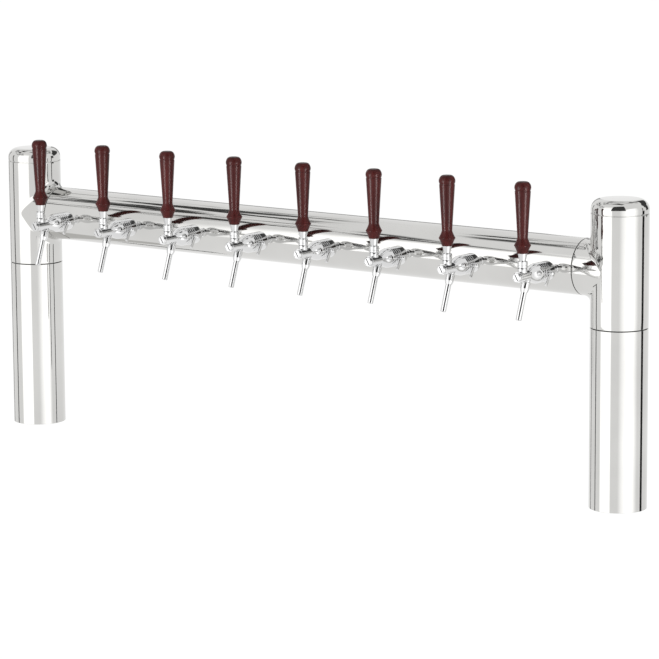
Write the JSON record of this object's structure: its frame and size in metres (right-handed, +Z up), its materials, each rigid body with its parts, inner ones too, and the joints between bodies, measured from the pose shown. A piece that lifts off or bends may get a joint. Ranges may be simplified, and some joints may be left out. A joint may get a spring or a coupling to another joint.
{
  "type": "bridge beer tower",
  "caption": "Polished steel bridge beer tower: two capped columns carry a horizontal tube with a row of compensator taps, each with a turned wooden handle, a flow lever and a slim spout.",
  "frame": {"origin": "on the counter plane, midway between the two column axes", "axes": "+X along the bridge from the left column to the right column, the taps point to -Y, +Z up"},
  "size_m": [1.42, 0.2195, 0.5715],
  "materials": {
    "polished_steel": "mirror-polished stainless steel",
    "tap_chrome": "bright chrome plating",
    "handle_wood": "turned wood under a glossy dark red lacquer",
    "inner_steel": "plain turned stainless steel",
    "brass": "turned brass",
    "seal_rubber": "soft black rubber",
    "compensator_plastic": "pale moulded plastic"
  },
  "bodies": {
    "tower": {"left_column": "polished_steel", "right_column": "polished_steel", "left_tee": "polished_steel", "right_tee": "polished_steel", "column_caps": "polished_steel", "bridge_tube": "polished_steel", "bridge_sleeves": "inner_steel", "column_sleeves": "inner_steel", "foot_rings": "inner_steel", "tap_shanks": "inner_steel", "lock_nuts": "brass", "shank_collars": "tap_chrome", "tap_bodies": "tap_chrome", "ball_caps": "tap_chrome", "front_plugs": "tap_chrome", "side_screws": "tap_chrome", "spout_nuts": "tap_chrome", "spouts": "tap_chrome", "seals": "seal_rubber", "beer_lines": "inner_steel"},
    "tap_1_pull": {"tap_1_handle": "handle_wood", "tap_1_lever": "tap_chrome"},
    "tap_1_valve": {"tap_1_valve_stem": "brass"},
    "tap_1_flow": {"tap_1_flow_lever": "tap_chrome"},
    "tap_1_cone": {"tap_1_compensator": "compensator_plastic"},
    "tap_2_pull": {"tap_2_handle": "handle_wood", "tap_2_lever": "tap_chrome"},
    "tap_2_valve": {"tap_2_valve_stem": "brass"},
    "tap_2_flow": {"tap_2_flow_lever": "tap_chrome"},
    "tap_2_cone": {"tap_2_compensator": "compensator_plastic"},
    "tap_3_pull": {"tap_3_handle": "handle_wood", "tap_3_lever": "tap_chrome"},
    "tap_3_valve": {"tap_3_valve_stem": "brass"},
    "tap_3_flow": {"tap_3_flow_lever": "tap_chrome"},
    "tap_3_cone": {"tap_3_compensator": "compensator_plastic"},
    "tap_4_pull": {"tap_4_handle": "handle_wood", "tap_4_lever": "tap_chrome"},
    "tap_4_valve": {"tap_4_valve_stem": "brass"},
    "tap_4_flow": {"tap_4_flow_lever": "tap_chrome"},
    "tap_4_cone": {"tap_4_compensator": "compensator_plastic"},
    "tap_5_pull": {"tap_5_handle": "handle_wood", "tap_5_lever": "tap_chrome"},
    "tap_5_valve": {"tap_5_valve_stem": "brass"},
    "tap_5_flow": {"tap_5_flow_lever": "tap_chrome"},
    "tap_5_cone": {"tap_5_compensator": "compensator_plastic"},
    "tap_6_pull": {"tap_6_handle": "handle_wood", "tap_6_lever": "tap_chrome"},
    "tap_6_valve": {"tap_6_valve_stem": "brass"},
    "tap_6_flow": {"tap_6_flow_lever": "tap_chrome"},
    "tap_6_cone": {"tap_6_compensator": "compensator_plastic"},
    "tap_7_pull": {"tap_7_handle": "handle_wood", "tap_7_lever": "tap_chrome"},
    "tap_7_valve": {"tap_7_valve_stem": "brass"},
    "tap_7_flow": {"tap_7_flow_lever": "tap_chrome"},
    "tap_7_cone": {"tap_7_compensator": "compensator_plastic"},
    "tap_8_pull": {"tap_8_handle": "handle_wood", "tap_8_lever": "tap_chrome"},
    "tap_8_valve": {"tap_8_valve_stem": "brass"},
    "tap_8_flow": {"tap_8_flow_lever": "tap_chrome"},
    "tap_8_cone": {"tap_8_compensator": "compensator_plastic"}
  },
  "joints": [
    {"name": "tap_1_lever_tilt", "type": "hinge", "parent": "tower", "child": "tap_1_pull", "pos_m": [-0.51225, -0.1505, 0.4225], "axis": [1, 0, 0], "range_deg": [-12, 30]},
    {"name": "tap_1_valve_slide", "type": "slide", "parent": "tower", "child": "tap_1_valve", "axis": [0, 1, 0], "range_m": [-0.0024, 0.0058]},
    {"name": "tap_1_flow_turn", "type": "hinge", "parent": "tower", "child": "tap_1_flow", "pos_m": [-0.51225, -0.0975, 0.4115], "axis": [1, 0, 0], "range_deg": [-46, 46]},
    {"name": "tap_1_cone_slide", "type": "slide", "parent": "tower", "child": "tap_1_cone", "axis": [0, 1, 0], "range_m": [-0.00236, 0.00236]},
    {"name": "tap_2_lever_tilt", "type": "hinge", "parent": "tower", "child": "tap_2_pull", "pos_m": [-0.35875, -0.1505, 0.4225], "axis": [1, 0, 0], "range_deg": [-12, 30]},
    {"name": "tap_2_valve_slide", "type": "slide", "parent": "tower", "child": "tap_2_valve", "axis": [0, 1, 0], "range_m": [-0.0024, 0.0058]},
    {"name": "tap_2_flow_turn", "type": "hinge", "parent": "tower", "child": "tap_2_flow", "pos_m": [-0.35875, -0.0975, 0.4115], "axis": [1, 0, 0], "range_deg": [-46, 46]},
    {"name": "tap_2_cone_slide", "type": "slide", "parent": "tower", "child": "tap_2_cone", "axis": [0, 1, 0], "range_m": [-0.00236, 0.00236]},
    {"name": "tap_3_lever_tilt", "type": "hinge", "parent": "tower", "child": "tap_3_pull", "pos_m": [-0.20525, -0.1505, 0.4225], "axis": [1, 0, 0], "range_deg": [-12, 30]},
    {"name": "tap_3_valve_slide", "type": "slide", "parent": "tower", "child": "tap_3_valve", "axis": [0, 1, 0], "range_m": [-0.0024, 0.0058]},
    {"name": "tap_3_flow_turn", "type": "hinge", "parent": "tower", "child": "tap_3_flow", "pos_m": [-0.20525, -0.0975, 0.4115], "axis": [1, 0, 0], "range_deg": [-46, 46]},
    {"name": "tap_3_cone_slide", "type": "slide", "parent": "tower", "child": "tap_3_cone", "axis": [0, 1, 0], "range_m": [-0.00236, 0.00236]},
    {"name": "tap_4_lever_tilt", "type": "hinge", "parent": "tower", "child": "tap_4_pull", "pos_m": [-0.05175, -0.1505, 0.4225], "axis": [1, 0, 0], "range_deg": [-12, 30]},
    {"name": "tap_4_valve_slide", "type": "slide", "parent": "tower", "child": "tap_4_valve", "axis": [0, 1, 0], "range_m": [-0.0024, 0.0058]},
    {"name": "tap_4_flow_turn", "type": "hinge", "parent": "tower", "child": "tap_4_flow", "pos_m": [-0.05175, -0.0975, 0.4115], "axis": [1, 0, 0], "range_deg": [-46, 46]},
    {"name": "tap_4_cone_slide", "type": "slide", "parent": "tower", "child": "tap_4_cone", "axis": [0, 1, 0], "range_m": [-0.00236, 0.00236]},
    {"name": "tap_5_lever_tilt", "type": "hinge", "parent": "tower", "child": "tap_5_pull", "pos_m": [0.10175, -0.1505, 0.4225], "axis": [1, 0, 0], "range_deg": [-12, 30]},
    {"name": "tap_5_valve_slide", "type": "slide", "parent": "tower", "child": "tap_5_valve", "axis": [0, 1, 0], "range_m": [-0.0024, 0.0058]},
    {"name": "tap_5_flow_turn", "type": "hinge", "parent": "tower", "child": "tap_5_flow", "pos_m": [0.10175, -0.0975, 0.4115], "axis": [1, 0, 0], "range_deg": [-46, 46]},
    {"name": "tap_5_cone_slide", "type": "slide", "parent": "tower", "child": "tap_5_cone", "axis": [0, 1, 0], "range_m": [-0.00236, 0.00236]},
    {"name": "tap_6_lever_tilt", "type": "hinge", "parent": "tower", "child": "tap_6_pull", "pos_m": [0.25525, -0.1505, 0.4225], "axis": [1, 0, 0], "range_deg": [-12, 30]},
    {"name": "tap_6_valve_slide", "type": "slide", "parent": "tower", "child": "tap_6_valve", "axis": [0, 1, 0], "range_m": [-0.0024, 0.0058]},
    {"name": "tap_6_flow_turn", "type": "hinge", "parent": "tower", "child": "tap_6_flow", "pos_m": [0.25525, -0.0975, 0.4115], "axis": [1, 0, 0], "range_deg": [-46, 46]},
    {"name": "tap_6_cone_slide", "type": "slide", "parent": "tower", "child": "tap_6_cone", "axis": [0, 1, 0], "range_m": [-0.00236, 0.00236]},
    {"name": "tap_7_lever_tilt", "type": "hinge", "parent": "tower", "child": "tap_7_pull", "pos_m": [0.40875, -0.1505, 0.4225], "axis": [1, 0, 0], "range_deg": [-12, 30]},
    {"name": "tap_7_valve_slide", "type": "slide", "parent": "tower", "child": "tap_7_valve", "axis": [0, 1, 0], "range_m": [-0.0024, 0.0058]},
    {"name": "tap_7_flow_turn", "type": "hinge", "parent": "tower", "child": "tap_7_flow", "pos_m": [0.40875, -0.0975, 0.4115], "axis": [1, 0, 0], "range_deg": [-46, 46]},
    {"name": "tap_7_cone_slide", "type": "slide", "parent": "tower", "child": "tap_7_cone", "axis": [0, 1, 0], "range_m": [-0.00236, 0.00236]},
    {"name": "tap_8_lever_tilt", "type": "hinge", "parent": "tower", "child": "tap_8_pull", "pos_m": [0.56225, -0.1505, 0.4225], "axis": [1, 0, 0], "range_deg": [-12, 30]},
    {"name": "tap_8_valve_slide", "type": "slide", "parent": "tower", "child": "tap_8_valve", "axis": [0, 1, 0], "range_m": [-0.0024, 0.0058]},
    {"name": "tap_8_flow_turn", "type": "hinge", "parent": "tower", "child": "tap_8_flow", "pos_m": [0.56225, -0.0975, 0.4115], "axis": [1, 0, 0], "range_deg": [-46, 46]},
    {"name": "tap_8_cone_slide", "type": "slide", "parent": "tower", "child": "tap_8_cone", "axis": [0, 1, 0], "range_m": [-0.00236, 0.00236]}
  ],
  "couplings": [
    {"joint": "tap_1_valve_slide", "follows": "tap_1_lever_tilt", "m_per_rad": 0.011},
    {"joint": "tap_1_flow_turn", "follows": "tap_1_cone_slide", "rad_per_m": 333.33},
    {"joint": "tap_2_valve_slide", "follows": "tap_2_lever_tilt", "m_per_rad": 0.011},
    {"joint": "tap_2_flow_turn", "follows": "tap_2_cone_slide", "rad_per_m": 333.33},
    {"joint": "tap_3_valve_slide", "follows": "tap_3_lever_tilt", "m_per_rad": 0.011},
    {"joint": "tap_3_flow_turn", "follows": "tap_3_cone_slide", "rad_per_m": 333.33},
    {"joint": "tap_4_valve_slide", "follows": "tap_4_lever_tilt", "m_per_rad": 0.011},
    {"joint": "tap_4_flow_turn", "follows": "tap_4_cone_slide", "rad_per_m": 333.33},
    {"joint": "tap_5_valve_slide", "follows": "tap_5_lever_tilt", "m_per_rad": 0.011},
    {"joint": "tap_5_flow_turn", "follows": "tap_5_cone_slide", "rad_per_m": 333.33},
    {"joint": "tap_6_valve_slide", "follows": "tap_6_lever_tilt", "m_per_rad": 0.011},
    {"joint": "tap_6_flow_turn", "follows": "tap_6_cone_slide", "rad_per_m": 333.33},
    {"joint": "tap_7_valve_slide", "follows": "tap_7_lever_tilt", "m_per_rad": 0.011},
    {"joint": "tap_7_flow_turn", "follows": "tap_7_cone_slide", "rad_per_m": 333.33},
    {"joint": "tap_8_valve_slide", "follows": "tap_8_lever_tilt", "m_per_rad": 0.011},
    {"joint": "tap_8_flow_turn", "follows": "tap_8_cone_slide", "rad_per_m": 333.33}
  ]
}
